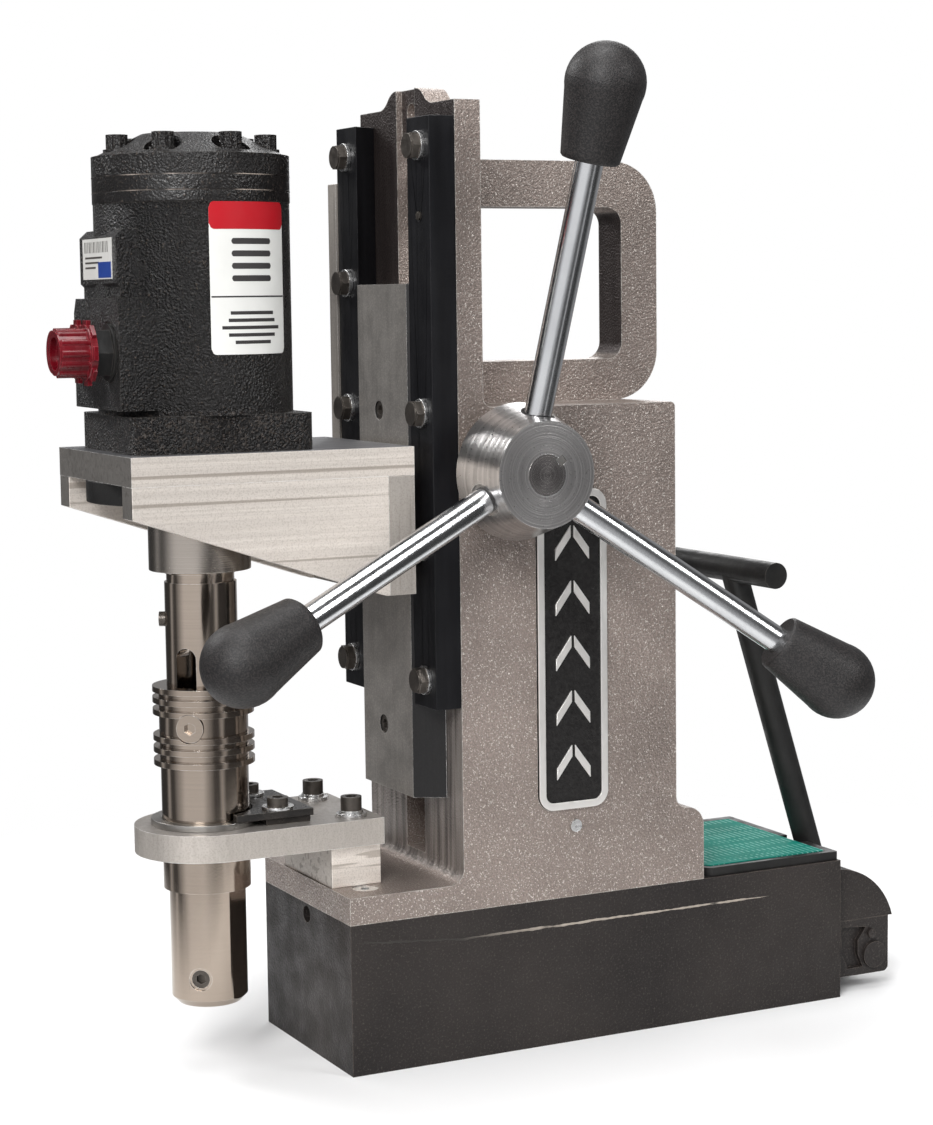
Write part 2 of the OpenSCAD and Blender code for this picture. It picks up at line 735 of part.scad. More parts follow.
module motor_housing() {
  color(c_black) motor_frame() difference() {
    union() {
      translate([0, 0, brk_top]) linear_extrude(fl_top - brk_top)
        rrect(-flange_w / 2, flange_w / 2, -flange_w / 2, flange_w / 2, flange_r);
      zcyl(motor_d / 2, fl_top - e, body_z1);
      along_y(port_v, -5) polygon([[-blk_hw, blk_z0], [blk_hw, blk_z0], [blk_hw, blk_z1],
        [blk_hw - 3.5, blk_z1 + 6.5], [3.5 - blk_hw, blk_z1 + 6.5], [-blk_hw, blk_z1]]);
      along_y(-38, -5) polygon([[-blk_hw, blk_z1 - 0.1], [blk_hw, blk_z1 - 0.1],
        [22, pad_z0], [-22, pad_z0]]);
      along_x(-pad_hw, pad_hw) polygon([[pad_v, pad_z0], [pad_v, pad_z1], [pad_v + 3.5, pad_z1 + 3.2],
        [-5, pad_z1 + 3.2], [-5, blk_z1], [pad_v + 1.5, blk_z1], [pad_v + 1.5, pad_z0 - 1.5]]);
    }
    zcyl(drive_r + fit, brk_top - 1, 352);
    zcyl(8, 351, body_z1 + 1);
    for (p = mot_bolt) zcyl(3.2, brk_top - 1, fl_top - 1.5, p[0], p[1]);
    for (s = [-1, 1]) {
      ycyl(port_r + 0.2, -50, -30, s * port_u, port_z);
      ycyl(13.5, -50, port_v + 0.4, s * port_u, port_z);
    }
    bolt_ring(3.1, body_z1 - 14, body_z1 + 1);
  }
}
// children at each cover bolt, +X pointing outward
module at_cap_bolts(shift = 0) {
  for (i = [0:cap_bolt_n - 1]) rotate([0, 0, cap_bolt_a + (i + shift) * 360 / cap_bolt_n]) children();
}
module bolt_ring(r, z0, z1) {
  at_cap_bolts() zcyl(r, z0, z1, cap_bolt_r, 0);
}
module wear_plate() {
  color(c_black) motor_frame() difference() {
    zcyl(ring_r, body_z1, wear_z1);
    zcyl(12, body_z1 - 1, wear_z1 + 1);
    bolt_ring(3.4, body_z1 - 1, wear_z1 + 1);
  }
}
module gerotor_ring() {
  color(c_black) motor_frame() difference() {
    zcyl(ring_r, wear_z1, ring_z1);
    zcyl(20, wear_z1 - 1, ring_z1 + 1);
    at_cap_bolts(0.5) zcyl(5, wear_z1 - 1, ring_z1 + 1, 21, 0);
    bolt_ring(3.4, wear_z1 - 1, ring_z1 + 1);
  }
}
module end_cover() {
  color(c_black) motor_frame() difference() {
    union() {
      zcyl(ring_r, ring_z1, cover_z1);
      translate([0, 0, cover_z1 - e]) cylinder(r1 = 43, r2 = 22, h = dome_z - cover_z1);
    }
    bolt_ring(3.4, ring_z1 - 1, dome_z);
    bolt_ring(8.4, cap_bolt_z, dome_z + 1);
  }
}
module cover_bolts() {
  color(c_black) motor_frame() at_cap_bolts() translate([cap_bolt_r, 0, cap_bolt_z]) {
    translate([0, 0, -34]) cylinder(r = 3, h = 34 + e);
    cylinder(r = 6.2, h = 1.4);
    translate([0, 0, 1.4 - e]) cylinder(r = 5, h = 6.6, $fn = 6);
    translate([0, 0, 1.4 - e]) rotate(30) cylinder(r = 5, h = 6.6, $fn = 6);
  }
}
wash_v = port_v - 1.1;
adapt_v = -54.2;
module port_adapter() {
  color(c_black) motor_frame() {
    ycyl(port_r, wash_v + 0.5, -31, port_u, port_z);
    ycyl(12.6, wash_v, port_v + 0.1, port_u, port_z);
    translate([port_u, wash_v + e, port_z]) rotate([90, 0, 0])
      cylinder(r = 11.4, h = wash_v - adapt_v, $fn = 6);
  }
}
module port_cap(v0, v1, rb) {
  difference() {
    union() {
      ycyl(12.3, v0 - 3, v0, 0, 0);
      ycyl(rb, v1, v0 - 3 + e, 0, 0);
      for (i = [0:7]) rotate([0, i * 45, 0]) box(-3, 3, v0 - 2.4, v0 - 0.6, 11, 14.2);
      for (i = [0:11]) rotate([0, i * 30, 0]) ycyl(1.6, v1 + 1, v0 - 3 + e, rb - 0.6, 0);
    }
    ycyl(rb - 2.4, v1 - 1, v1 + 3, 0, 0);
  }
}
cap_r = 9.7;
far_cap_v = -47.5;
module port_caps() {
  color(c_red) motor_frame() {
    translate([port_u, 0, port_z]) port_cap(adapt_v, -70.5, cap_r);
    translate([-port_u, 0, port_z]) port_cap(far_cap_v, -61, cap_r);
    ycyl(port_r, far_cap_v - e, -31, -port_u, port_z);
  }
}
module motor_sticker() {
  color(c_white) out(-11) rotate_extrude(angle = 54, $fn = 128)
    rect(motor_d / 2 + 0.05, motor_d / 2 + 0.35, 330.8, 397.3);
}
module motor_label() {
  color(c_white) motor_frame() box(-22, 22, pad_v - 0.4, pad_v, 364.4, 382.4);
}

// ---- feed handle, on the pinion shaft axis
module pinion_shaft() {
  color(c_steel) difference() {
    union() {
      xcyl(shaft_r, -39, hub_x1 + 0.3, pin_y, pin_z);
      along_x(-pin_half, pin_half) translate([pin_y, pin_z]) gear_2d(pin_m, pin_n, 180 + 180 / pin_n, 0.5);
    }
    key_cut(0.02);
  }
}
key_turn = 50;
key_r0 = 7.6;
key_r1 = 11.6;
module key_cut(c) {
  translate([0, pin_y, pin_z]) rotate([-key_turn, 0, 0])
    box(hub_x1 - 26, hub_x1 + 2, -2 - c, 2 + c, key_r0 - c, key_r1 + c);
}
module hub_key() {
  color(c_steel) translate([0, pin_y, pin_z]) rotate([-key_turn, 0, 0])
    box(hub_x1 - 25, hub_x1 - 0.2, -2, 2, key_r0, key_r1);
}
module feed_hub() {
  color(c_mach) difference() {
    translate([hub_x0, pin_y, pin_z]) rotate([0, 90, 0])
      cylinder(r1 = hub_back_d / 2, r2 = hub_d / 2, h = hub_x1 - hub_x0);
    xcyl(shaft_r + 0.02, hub_x0 - 1, hub_x1 + 1, pin_y, pin_z);
    key_cut(0.02);
    spokes_at() translate([0, 0, spoke_t0 - 0.2]) cylinder(r = spoke_d / 2 + 0.03, h = 30);
    spokes_at() translate([0, 0, spot_t]) cylinder(r = spoke_d / 2 + 1.6, h = 20);
  }
}
module spokes_at() {
  for (k = [0:2]) translate([spoke_x, pin_y, pin_z]) rotate([-spoke_turn + 120 * k, 0, 0])
    rotate([0, spoke_tilt, 0]) children();
}
knob_wall = 13.7;
module feed_spokes() {
  color(c_zinc) spokes_at() translate([0, 0, spoke_t0])
    cylinder(r = spoke_d / 2, h = knob_reach - spoke_t0 - knob_wall - 2);
}
module feed_knobs() {
  color(c_black) spokes_at() translate([0, 0, knob_reach - knob_l]) difference() {
    rotate_extrude() difference() {
      union() {
        polygon([[0, 0], [12.4, 0], [13.3, 0.9], [13.6, 3], [knob_d / 2 - 0.25, knob_l - knob_d / 2 - 2],
          [knob_d / 2 - 0.02, knob_l - knob_d / 2 + 1], [0, knob_l - knob_d / 2 + 1]]);
        translate([0, knob_l - knob_d / 2]) circle(knob_d / 2);
      }
      rect(-knob_d, 0, -knob_d, 2 * knob_l);
    }
    translate([0, 0, -1]) cylinder(r = spoke_d / 2 + 0.03, h = knob_l + 1 - knob_wall);
  }
}

// ---- spindle
nose_z0 = 31.5;
sh_z0 = 85.5;
sh_z1 = 142.7;
tube_r = 16.5;
tube_top = 272;
drive_z0 = 234;
drive_r = 12.5;
groove_z0 = 227.3;
groove_z1 = 231.3;
flat_turn = 35.6;
set_turn = -34.9;
set_z = 45;
pin_turn = 243.3;
drive_pin_z = 209.8;
slot_z1 = 192.9;
module spindle_barrel() {
  color(c_steel) difference() {
    union() {
      translate([0, ys, nose_z0]) cylinder(r1 = nose_d / 2 - 3, r2 = nose_d / 2, h = 3.2);
      zcyl(nose_d / 2, nose_z0 + 3.2 - e, sh_z0 + e, 0, ys);
      zcyl(spindle_d / 2, sh_z0, sh_z1, 0, ys);
      zcyl(tube_r, sh_z1 - e, groove_z0, 0, ys);
      zcyl(tube_r - 1, groove_z0 - e, groove_z1, 0, ys);
      zcyl(tube_r, groove_z1 - e, tube_top, 0, ys);
    }
    zcyl(arbor_d / 2, nose_z0 - 1, nose_z0 + 60, 0, ys);
    zcyl(6, nose_z0 + 59, drive_z0, 0, ys);
    zcyl(drive_r + 0.04, drive_z0 - e, tube_top + 1, 0, ys);
    out(-48) box(-30, 30, -5, 5, 166, slot_z1);
    out(-48) xcyl(5, -30, 30, 0, slot_z1);
    for (a = [0, 180]) out(flat_turn + a) box(nose_d / 2 - 0.9, 30, -30, 30, nose_z0 - 1, sh_z0 - 2);
    out(set_turn) xcyl(4.2, 5, 30, 0, set_z);
    out(set_turn) xcyl(5.3, 16.4, 30, 0, set_z);
    out(pin_turn) xcyl(3, 12, 30, 0, drive_pin_z);
  }
}
module spindle_screws() {
  color(c_dark) {
    out(set_turn) translate([16.2, 0, set_z]) rotate([0, 90, 0]) difference() {
      translate([0, 0, -6]) cylinder(r = 4.1, h = 6);
      hex_socket(4.2, 3);
    }
    out(pin_turn) union() {
      xcyl(2.9, 13, 17, 0, drive_pin_z);
      xcyl(3.4, 16.6, 19.2, 0, drive_pin_z);
    }
  }
}
module motor_shaft() {
  color(c_steel) zcyl(drive_r, drive_z0 + 2, 351, 0, ys);
}

// ---- coolant ring, free to turn on the spindle
cr_z0 = 143.3;
cr_z1 = 179.7;
fin_h = 2.6;
plug_z = 162.1;
plug_turn = -37.4;
module coolant_ring() {
  color(c_steel) difference() {
    union() {
      zcyl(20.4, cr_z0, cr_z1, 0, ys);
      for (z = [cr_z0, 149.3, 154.7, 166.7, 172.1, cr_z1 - fin_h]) zcyl(fin_d / 2, z, z + fin_h, 0, ys);
    }
    zcyl(tube_r + 0.08, cr_z0 - 1, cr_z1 + 1, 0, ys);
    out(plug_turn) xcyl(4, 17, 30, 0, plug_z);
    out(plug_turn) xcyl(6.7, 20.5, 30, 0, plug_z);
  }
}
module ring_plug() {
  color(c_steel) out(plug_turn) translate([0, 0, plug_z]) rotate([0, 90, 0]) difference() {
    union() {
      translate([0, 0, 17.6]) cylinder(r = 3.9, h = 3.2);
      translate([0, 0, 20.6]) cylinder(r = 6.3, h = 1.6);
    }
    translate([0, 0, 22.2]) hex_socket(5, 2.6);
  }
}

magnet_housing();
pole_bars();
pole_spacers();
column_casting();
foot_screws();
nameplate();
nameplate_rim();
nameplate_marks();
oil_plug();
gibs();
gib_bolts();
gib_washers();
depth_scale();
arm_riser();
support_arm();
arm_screws();
arm_washers();
arm_bush();
keeper_spacer();
keeper_clip();
cover_plate();
info_label();
ear_blocks();
ear_caps();
ear_screws();
pinion_bushes();
slide();
feed_rack();
slide_screws();
bracket_spacer();
bracket_back();
bracket_top();
gussets();
bearing_plate();
bearing_collar();
motor_screws();
motor_housing();
wear_plate();
gerotor_ring();
end_cover();
cover_bolts();
port_adapter();
port_caps();
motor_sticker();
motor_label();
magnet_frame();
magnet_blocks();
feed_hub();
pinion_shaft();
hub_key();
feed_spokes();
feed_knobs();
spindle_barrel();
motor_shaft();
spindle_screws();
coolant_ring();
ring_plug();
lever_shaft();
lever_handle();
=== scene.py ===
"""Looks for a magnetic drill press.

Camera, light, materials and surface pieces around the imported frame.
"""

import json
import math

import bmesh
import bpy
from mathutils import Matrix, Vector, noise


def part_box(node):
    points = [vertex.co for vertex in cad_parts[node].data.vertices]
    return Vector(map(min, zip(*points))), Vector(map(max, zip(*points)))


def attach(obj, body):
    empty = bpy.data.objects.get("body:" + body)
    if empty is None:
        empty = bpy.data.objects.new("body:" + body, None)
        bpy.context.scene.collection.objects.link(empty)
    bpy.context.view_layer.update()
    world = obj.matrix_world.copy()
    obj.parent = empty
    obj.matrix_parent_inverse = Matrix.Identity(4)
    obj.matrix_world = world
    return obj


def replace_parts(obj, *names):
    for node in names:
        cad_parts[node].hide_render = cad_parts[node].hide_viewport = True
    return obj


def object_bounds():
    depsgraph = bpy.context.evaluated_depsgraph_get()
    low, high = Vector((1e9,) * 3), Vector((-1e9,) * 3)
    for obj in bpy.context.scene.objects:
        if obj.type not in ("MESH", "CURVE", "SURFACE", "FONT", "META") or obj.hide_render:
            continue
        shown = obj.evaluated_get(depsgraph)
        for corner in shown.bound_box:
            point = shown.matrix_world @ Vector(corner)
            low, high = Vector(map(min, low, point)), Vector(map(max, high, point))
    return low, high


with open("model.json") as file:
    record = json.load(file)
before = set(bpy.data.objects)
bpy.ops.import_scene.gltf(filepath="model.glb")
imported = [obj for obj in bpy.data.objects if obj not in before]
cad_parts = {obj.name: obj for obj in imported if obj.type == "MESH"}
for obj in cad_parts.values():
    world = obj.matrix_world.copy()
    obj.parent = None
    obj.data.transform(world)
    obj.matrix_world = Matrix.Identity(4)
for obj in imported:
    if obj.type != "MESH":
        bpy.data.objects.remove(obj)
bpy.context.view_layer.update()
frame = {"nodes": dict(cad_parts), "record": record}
MM = 0.001

# ---- camera

# degrees, metres, and the lens in mm
CAMERA_AZIMUTH = 63.278
CAMERA_ELEVATION = 6.037
CAMERA_ROLL = -0.729
CAMERA_DISTANCE = 1.1991
CAMERA_TARGET = Vector((0, -0.04798, 0.22745))
CAMERA_LENS = 79.62
CAMERA_SENSOR = 36


def make_camera():
    """Looks at the machine from its spindle side, a little above, with a slight roll."""
    a, e, r = (math.radians(x) for x in (CAMERA_AZIMUTH, CAMERA_ELEVATION, CAMERA_ROLL))
    back = Vector((math.sin(a) * math.cos(e), -math.cos(a) * math.cos(e), math.sin(e)))
    level = (-back).cross(Vector((0, 0, 1))).normalized()
    upright = level.cross(-back)
    side = level * math.cos(r) + upright * math.sin(r)
    top = upright * math.cos(r) - level * math.sin(r)
    camera = bpy.data.objects.new("camera", bpy.data.cameras.new("camera"))
    camera.data.lens = CAMERA_LENS
    camera.data.sensor_width = CAMERA_SENSOR
    turn = Matrix((side, top, back)).transposed().to_4x4()
    camera.matrix_world = Matrix.Translation(CAMERA_TARGET + back * CAMERA_DISTANCE) @ turn
    bpy.context.scene.collection.objects.link(camera)
    bpy.context.scene.camera = camera


# ---- node helpers

# a Mix node has one set of sockets for each data type, so its colour sockets go by number
MIX_COLOUR_A, MIX_COLOUR_B, MIX_RESULT = 6, 7, 2


class Look:
    """A principled material with the few procedural layers that these surfaces need."""

    def __init__(self, name, colour, metallic, rough, specular=0.5, coat=0.0):
        self.material = bpy.data.materials.new(name)
        self.material.use_nodes = True
        self.tree = self.material.node_tree
        self.shader = self.tree.nodes["Principled BSDF"]
        self.shader.inputs["Metallic"].default_value = metallic
        self.shader.inputs["Specular IOR Level"].default_value = specular
        self.shader.inputs["Coat Weight"].default_value = coat
        self.shader.inputs["Coat Roughness"].default_value = 0.12
        self.colour = self.rgb(colour)
        self.rough = self.value(rough)
        self.normal = None
        self.place = self.add("ShaderNodeTexCoord").outputs["Object"]

    def add(self, kind, **settings):
        node = self.tree.nodes.new(kind)
        for key, value in settings.items():
            setattr(node, key, value)
        return node

    def link(self, source, target):
        self.tree.links.new(source, target)

    def rgb(self, colour):
        node = self.add("ShaderNodeRGB")
        node.outputs[0].default_value = (*colour, 1)
        return node.outputs[0]

    def value(self, number):
        node = self.add("ShaderNodeValue")
        node.outputs[0].default_value = number
        return node.outputs[0]

    def noise(self, scale, stretch=(1, 1, 1), detail=4, low=0.35, high=0.65):
        """Noise from 0 to 1, finer with scale, drawn out along an axis whose stretch is small."""
        mapping = self.add("ShaderNodeMapping")
        mapping.inputs["Scale"].default_value = stretch
        self.link(self.place, mapping.inputs["Vector"])
        texture = self.add("ShaderNodeTexNoise")
        texture.inputs["Scale"].default_value = scale
        texture.inputs["Detail"].default_value = detail
        self.link(mapping.outputs[0], texture.inputs["Vector"])
        return self.spread(texture.outputs["Fac"], low, high)

    def spread(self, source, low, high, to_low=0.0, to_high=1.0):
        node = self.add("ShaderNodeMapRange")
        self.link(source, node.inputs["Value"])
        limits = (low, high, to_low, to_high)
        for key, number in zip(("From Min", "From Max", "To Min", "To Max"), limits):
            node.inputs[key].default_value = number
        return node.outputs["Result"]

    def math(self, operation, a, b):
        node = self.add("ShaderNodeMath", operation=operation)
        for socket, source in zip(node.inputs, (a, b)):
            if isinstance(source, (int, float)):
                socket.default_value = source
            else:
                self.link(source, socket)
        return node.outputs[0]

    def tint(self, mask, colour, amount=1.0):
        """Mixes a second colour in where the mask is 1."""
        node = self.add("ShaderNodeMix", data_type="RGBA")
        self.link(self.math("MULTIPLY", mask, amount), node.inputs["Factor"])
        self.link(self.colour, node.inputs[MIX_COLOUR_A])
        node.inputs[MIX_COLOUR_B].default_value = (*colour, 1)
        self.colour = node.outputs[MIX_RESULT]
        return self

    def roughen(self, mask, amount):
        self.rough = self.math("ADD", self.rough, self.math("MULTIPLY", mask, amount))
        return self

    def bump(self, height, strength, distance):
        node = self.add("ShaderNodeBump")
        node.inputs["Strength"].default_value = strength
        node.inputs["Distance"].default_value = distance
        self.link(height, node.inputs["Height"])
        if self.normal is not None:
            self.link(self.normal, node.inputs["Normal"])
        self.normal = node.outputs[0]
        return self

    def edges(self, colour, amount=0.8, radius=0.7):
        """Bright bare metal from wear, with a painted highlight, along sharp edges, radius in mm,
        broken up by noise.
        """
        soft = self.add("ShaderNodeBevel", samples=6)
        soft.inputs["Radius"].default_value = radius * MM
        agree = self.add("ShaderNodeVectorMath", operation="DOT_PRODUCT")
        self.link(soft.outputs[0], agree.inputs[0])
        self.link(self.add("ShaderNodeNewGeometry").outputs["Normal"], agree.inputs[1])
        sharp = self.spread(agree.outputs["Value"], 0.985, 0.88)
        # painted highlight and wear: a brighter colour in a narrow band along each sharp edge
        bright_mark = self.math("MULTIPLY", sharp, self.noise(220, low=0.3, high=0.55))
        return self.tint(bright_mark, colour, amount)

    def facing(self, direction, low=0.6, high=0.8):
        """Mask that is 1 where the surface faces a fixed direction."""
        agree = self.add("ShaderNodeVectorMath", operation="DOT_PRODUCT")
        self.link(self.add("ShaderNodeNewGeometry").outputs["Normal"], agree.inputs[0])
        agree.inputs[1].default_value = direction
        return self.spread(agree.outputs["Value"], low, high)

    def radius(self, axis, centre):
        """Distance from an axis, in metres, for turned rings."""
        keep = [0 if i == "XYZ".index(axis) else 1 for i in range(3)]
        flat = self.add("ShaderNodeVectorMath", operation="MULTIPLY")
        away = self.add("ShaderNodeVectorMath", operation="SUBTRACT")
        away.inputs[1].default_value = centre
        flat.inputs[1].default_value = keep
        self.link(self.place, away.inputs[0])
        self.link(away.outputs[0], flat.inputs[0])
        length = self.add("ShaderNodeVectorMath", operation="LENGTH")
        self.link(flat.outputs[0], length.inputs[0])
        return length.outputs["Value"]

    def rings(self, axis, centre, scale):
        """Fine noise that changes only with the distance from an axis."""
        texture = self.add("ShaderNodeTexNoise", noise_dimensions="1D")
        texture.inputs["Scale"].default_value = scale
        texture.inputs["Detail"].default_value = 3
        self.link(self.radius(axis, centre), texture.inputs["W"])
        return self.spread(texture.outputs["Fac"], 0.35, 0.65)

    def coordinate(self, axis):
        """Position along one axis, in metres."""
        split = self.add("ShaderNodeSeparateXYZ")
        self.link(self.place, split.inputs[0])
        return split.outputs[axis]

    def along(self, axis, scale):
        """Fine noise that changes only along one axis, as on a turned barrel."""
        texture = self.add("ShaderNodeTexNoise", noise_dimensions="1D")
        texture.inputs["Scale"].default_value = scale
        texture.inputs["Detail"].default_value = 4
        self.link(self.coordinate(axis), texture.inputs["W"])
        return self.spread(texture.outputs["Fac"], 0.35, 0.65)

    def done(self):
        self.link(self.colour, self.shader.inputs["Base Color"])
        self.link(self.rough, self.shader.inputs["Roughness"])
        if self.normal is not None:
            self.link(self.normal, self.shader.inputs["Normal"])
        return self.material


# ---- materials


def shaded(colour, amount):
    return tuple(amount * c for c in colour)


def cast_aluminium():
    """Speckled casting, with a machined guide face behind the slide that carries painted shade
    towards its top.
    """
    look = Look("cast_aluminium", (0.39, 0.322, 0.287), 0.6, 0.33)
    look.tint(look.noise(9, detail=6, low=0.4, high=0.6), (0.23, 0.19, 0.168), 0.7)
    look.tint(look.noise(1100, detail=4, low=0.40, high=0.60), (0.19, 0.16, 0.143), 0.5)
    look.tint(look.noise(1500, detail=2, low=0.60, high=0.69), (0.90, 0.84, 0.78), 0.8)
    behind_slide = look.spread(look.coordinate("Y"), -0.10, -0.09)
    guide = look.math("MULTIPLY", look.facing((0, -1, 0)), behind_slide)
    look.tint(guide, (0.36, 0.325, 0.30), 0.9)
    streak = look.math("MULTIPLY", guide, look.noise(260, (1, 1, 0.04), 3, 0.42, 0.60))
    look.tint(streak, (0.10, 0.085, 0.08), 0.75)
    # painted shade: the guide face behind the slide turns near black towards the top
    high = look.math("MULTIPLY", guide, look.spread(look.coordinate("Z"), 0.20, 0.32))
    look.tint(high, (0.035, 0.026, 0.025), 0.93)
    look.roughen(look.noise(60), 0.12)
    look.bump(look.noise(950, detail=3), 0.5, 0.0004).bump(look.noise(160), 0.12, 0.0008)
    return look.edges((0.80, 0.77, 0.72), 0.7).done()


def saw_cut(name, stretch, shade=1.0, front=0.85, top=0.0, lines=0.6):
    """Plate with long mill lines along one axis, with painted shade on the front and the top
    faces.
    """
    # painted light and shade: the whole colour is scaled for each copy, lighter above 1 and
    # darker below 1
    look = Look(name, shaded((0.82, 0.755, 0.69), shade), 0.5, 0.34)
    look.tint(look.noise(1500, stretch, 3), shaded((0.60, 0.54, 0.48), shade), 0.3)
    grain = look.noise(1300, detail=2, low=0.50, high=0.62)
    look.tint(grain, shaded((0.55, 0.49, 0.43), shade), 0.45)
    mill_lines = look.noise(330, stretch, 1, 0.61, 0.65)
    look.tint(mill_lines, shaded((0.30, 0.25, 0.205), shade), lines)
    # painted shade: darker top faces and darker faces turned to the front
    look.tint(look.facing((0, 0, 1)), (0.075, 0.080, 0.095), top)
    look.tint(look.facing((0, -1, 0)), (0.10, 0.096, 0.092), front)
    look.roughen(look.noise(500, stretch), 0.16)
    look.bump(look.noise(520, stretch, 2), 0.2, 0.0003)
    return look.edges((0.95, 0.94, 0.92), 0.8, 0.5).done()


def ground_slide():
    """Ground steel face; the flanks that run on the gibs are black."""
    look = Look("ground_slide", (0.36, 0.338, 0.315), 0.7, 0.36)
    look.tint(look.noise(500, (1, 1, 0.03), 3), (0.27, 0.253, 0.235), 0.5)
    look.tint(look.noise(1300, detail=2, low=0.5, high=0.62), (0.56, 0.52, 0.48), 0.45)
    look.tint(look.facing((1, 0, 0), 0.5, 0.6), (0.012, 0.012, 0.013), 0.97)
    look.roughen(look.noise(90), 0.12).bump(look.noise(900, (1, 1, 0.05)), 0.15, 0.0002)
    return look.edges((0.9, 0.88, 0.85), 0.8, 0.4).done()


def turned(name, axis, centre, colour, rough):
    """Lathe-turned metal: rings on the faces and fine lines round the barrel."""
    look = Look(name, colour, 1.0, rough)
    barrel = look.along(axis, 1600)
    look.tint(barrel, shaded(colour, 0.78), 0.4)
    look.bump(barrel, 0.08, 0.0002)
    rings = look.rings(axis, centre, 1500)
    look.tint(rings, shaded(colour, 0.55), 0.6).bump(rings, 0.2, 0.0003)
    look.roughen(look.noise(900, detail=3, low=0.2, high=0.8), 0.06)
    look.tint(look.noise(260, (1, 0.2, 0.2), 4, 0.45, 0.7), shaded(colour, 0.8), 0.2)
    return look.edges((0.97, 0.97, 0.96), 0.75, 0.6).done()


def polished_spindle():
    """Polished, slightly warm steel with faint turning lines."""
    look = Look("polished_spindle", (0.44, 0.372, 0.312), 1.0, 0.10)
    look.tint(look.noise(18, detail=5), (0.33, 0.27, 0.22), 0.5)
    look.tint(look.along("Z", 900), (0.34, 0.29, 0.245), 0.25)
    look.roughen(look.noise(160, detail=5, low=0.2, high=0.8), 0.05)
    look.bump(look.noise(1500), 0.03, 0.0001)
    return look.edges((0.92, 0.89, 0.85), 0.6, 0.4).done()


def zinc_rod():
    look = Look("zinc_rod", (0.66, 0.67, 0.68), 1.0, 0.15)
    look.tint(look.noise(45, detail=6), (0.48, 0.49, 0.50), 0.4)
    look.roughen(look.noise(180, detail=5, low=0.2, high=0.8), 0.08)
    return look.bump(look.noise(700), 0.06, 0.0002).done()


def zinc_washer():
    look = Look("zinc_washer", (0.74, 0.74, 0.74), 1.0, 0.22)
    look.tint(look.noise(300), (0.45, 0.44, 0.42), 0.5).roughen(look.noise(500), 0.15)
    return look.bump(look.noise(900), 0.2, 0.0002).edges((0.96, 0.96, 0.96), 0.8, 0.3).done()


def dark_bolt():
    look = Look("dark_bolt", (0.075, 0.066, 0.058), 0.75, 0.30)
    look.tint(look.noise(200), (0.14, 0.122, 0.106), 0.5).roughen(look.noise(300), 0.2)
    return look.bump(look.noise(1100), 0.15, 0.0002).edges((0.34, 0.31, 0.28), 0.6, 0.35).done()


def base_paint():
    look = Look("base_paint", (0.0125, 0.0100, 0.0095), 0.0, 0.42, specular=0.3)
    look.tint(look.noise(14, detail=6), (0.034, 0.028, 0.025), 0.6)
    look.tint(look.noise(1000, detail=3, low=0.56, high=0.68), (0.080, 0.068, 0.060), 0.5)
    look.roughen(look.noise(80, detail=5), 0.2)
    look.bump(look.noise(900, detail=4), 0.35, 0.0004).bump(look.noise(18), 0.08, 0.001)
    return look.edges((0.16, 0.13, 0.11), 0.5, 0.6).done()


def gib_black():
    look = Look("gib_black", (0.0045, 0.0045, 0.0055), 0.0, 0.34, specular=0.22)
    look.tint(look.noise(160, (1, 1, 0.08)), (0.012, 0.012, 0.014), 0.6)
    look.roughen(look.noise(60), 0.15).bump(look.noise(700), 0.08, 0.0003)
    return look.edges((0.09, 0.09, 0.095), 0.5, 0.4).done()


def motor_paint(name, grain, strength, rough, edge=0.10, flange=0.0):
    """Black paint over a rough casting, glinting most below the height of a flange."""
    look = Look(name, (0.0045, 0.0038, 0.0040), 0.0, rough, specular=0.42)
    look.tint(look.noise(30, detail=5), (0.012, 0.0105, 0.0098), 0.6)
    # painted glints: brownish specks over the black paint
    look.tint(look.noise(grain, detail=3, low=0.63, high=0.71), (0.16, 0.125, 0.10), 0.5)
    if flange:
        low = look.spread(look.coordinate("Z"), flange + MM, flange)
        glint = look.math("MULTIPLY", low, look.noise(760, detail=2, low=0.54, high=0.64))
        look.tint(glint, (0.09, 0.072, 0.06), 0.5)
    look.roughen(look.noise(90), 0.15)
    look.bump(look.noise(grain, detail=2, low=0.25, high=0.75), strength, 0.0016)
    return look.edges((edge, 0.9 * edge, 0.8 * edge), 0.6, 0.5).done()


def black_steel():
    look = Look("black_steel", (0.009, 0.009, 0.009), 0.0, 0.38, specular=0.3)
    look.tint(look.noise(40, detail=5), (0.020, 0.019, 0.018), 0.6)
    look.roughen(look.noise(140), 0.2).bump(look.noise(520), 0.12, 0.0004)
    return look.edges((0.13, 0.115, 0.10), 0.5, 0.5).done()


def keeper_black():
    look = Look("keeper_black", (0.020, 0.018, 0.017), 0.3, 0.24)
    look.tint(look.noise(80), (0.05, 0.042, 0.037), 0.6).roughen(look.noise(200), 0.12)
    # painted highlight: bright edges on the glossy black clip
    return look.bump(look.noise(900), 0.08, 0.0002).edges((0.85, 0.74, 0.6), 0.9, 0.35).done()


def knob_plastic():
    look = Look("knob_plastic", (0.0085, 0.0078, 0.0080), 0.0, 0.44, specular=0.42)
    look.tint(look.noise(1200, detail=3, low=0.45, high=0.6), (0.034, 0.029, 0.028), 0.7)
    look.roughen(look.noise(700), 0.12)
    return look.bump(look.noise(1500, detail=2), 0.28, 0.0003).done()


def red_cap():
    look = Look("red_cap", (0.14, 0.002, 0.007), 0.0, 0.22, specular=0.35, coat=0.2)
    look.tint(look.noise(120), (0.07, 0.001, 0.004), 0.6).roughen(look.noise(200), 0.12)
    return look.bump(look.noise(500), 0.05, 0.0003).edges((0.85, 0.10, 0.14), 0.4, 0.4).done()


def printed(name, colour, second):
    """A glossy printed film with faint mottling."""
    look = Look(name, colour, 0.0, 0.32, specular=0.35, coat=0.1)
    look.tint(look.noise(60, detail=5), second, 0.5).roughen(look.noise(240), 0.12)
    return look.bump(look.noise(300), 0.04, 0.0002).done()


LABEL_ROW_PITCH = 0.0031  # metres


